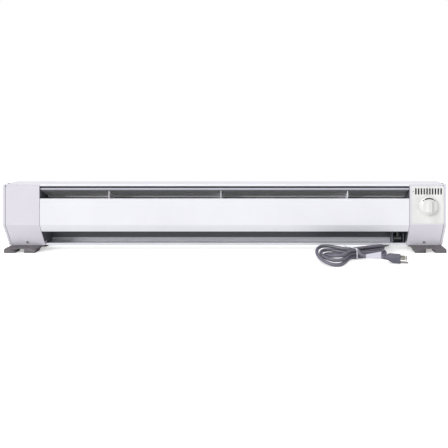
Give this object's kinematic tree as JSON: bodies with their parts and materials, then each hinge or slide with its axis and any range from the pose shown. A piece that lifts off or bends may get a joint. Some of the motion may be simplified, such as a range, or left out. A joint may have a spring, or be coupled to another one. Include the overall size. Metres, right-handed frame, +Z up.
{
  "type": "baseboard heater",
  "caption": "Portable electric baseboard convection heater: long white sheet-steel case on two moulded feet, thermostat knob on the right end cap, mains cord bundled in front.",
  "frame": {"origin": "on the floor, at the centre of the overall footprint of the case, its feet and the bundled cord", "axes": "+Z up, +X along the heater towards the thermostat end, -Y towards the front"},
  "size_m": [1.233, 0.2008, 0.1937],
  "materials": {
    "white_paint": "satin powder coat",
    "inner_steel": "satin grey",
    "control_face": "satin warm grey",
    "knob_white": "semi-gloss white",
    "foot_plastic": "moulded grey",
    "zinc_screws": "zinc plated",
    "switch_plastic": "black moulded",
    "grommet_rubber": "matt black",
    "brass": "bright",
    "copper_tube": "drawn copper",
    "sheath_steel": "heat-tinted steel",
    "fin_aluminium": "mill finish",
    "ceramic": "fired ceramic and phenolic",
    "galvanised": "zinc plated",
    "pendulum_steel": "turned steel",
    "red_insulation": "high-temperature sleeve",
    "black_insulation": "insulated wire",
    "white_insulation": "insulated wire",
    "green_insulation": "insulated wire",
    "nut_plastic": "moulded yellow",
    "green_screw": "green plated",
    "cord_vinyl": "grey vinyl jacket",
    "tie_vinyl": "white vinyl",
    "tag_paper": "blank white label",
    "plug_vinyl": "grey moulded vinyl",
    "blade_metal": "nickel-plated brass"
  },
  "bodies": {
    "case": {"case_shell": "white_paint", "front_panel": "white_paint", "air_deflector": "inner_steel", "panel_brackets": "white_paint", "left_end_cap": "white_paint", "right_end_cap": "white_paint", "left_end_plate": "white_paint", "right_end_plate": "white_paint", "left_bulkhead": "inner_steel", "right_bulkhead": "inner_steel", "control_plate": "control_face", "end_cap_screws": "zinc_screws", "top_screws": "zinc_screws", "left_foot": "foot_plastic", "right_foot": "foot_plastic", "foot_screws": "zinc_screws", "thermostat_body": "switch_plastic", "thermostat_terminals": "brass", "thermostat_screws": "zinc_screws", "sensing_bulb": "copper_tube", "element_sheath": "sheath_steel", "element_fins": "fin_aluminium", "element_terminals": "sheath_steel", "element_bushings": "ceramic", "limit_switch": "ceramic", "limit_capillary": "copper_tube", "tip_switch_frame": "galvanised", "tip_switch_pin": "galvanised", "tip_microswitch": "switch_plastic", "return_wire": "red_insulation", "live_lead": "black_insulation", "neutral_lead": "white_insulation", "earth_lead": "green_insulation", "control_leads": "black_insulation", "tip_lead": "black_insulation", "wire_connectors": "nut_plastic", "earth_screw": "green_screw", "bulkhead_grommets": "grommet_rubber", "strain_relief": "switch_plastic", "power_cord": "cord_vinyl", "cord_tie": "tie_vinyl", "cord_tag": "tag_paper", "plug_body": "plug_vinyl", "plug_blades": "blade_metal", "ground_pin": "blade_metal"},
    "knob": {"thermostat_knob": "knob_white", "thermostat_shaft": "brass"},
    "pendulum": {"tip_switch_pendulum": "pendulum_steel"}
  },
  "joints": [
    {"name": "knob_turn", "type": "hinge", "parent": "case", "child": "knob", "pos_m": [0.559, 0.0055, 0.133], "axis": [0, 1, 0], "range_deg": [-43, 43]},
    {"name": "tip_pendulum_swing", "type": "hinge", "parent": "case", "child": "pendulum", "pos_m": [0.4865, 0.0535, 0.052], "axis": [1, 0, 0], "range_deg": [-25, 25]}
  ]
}
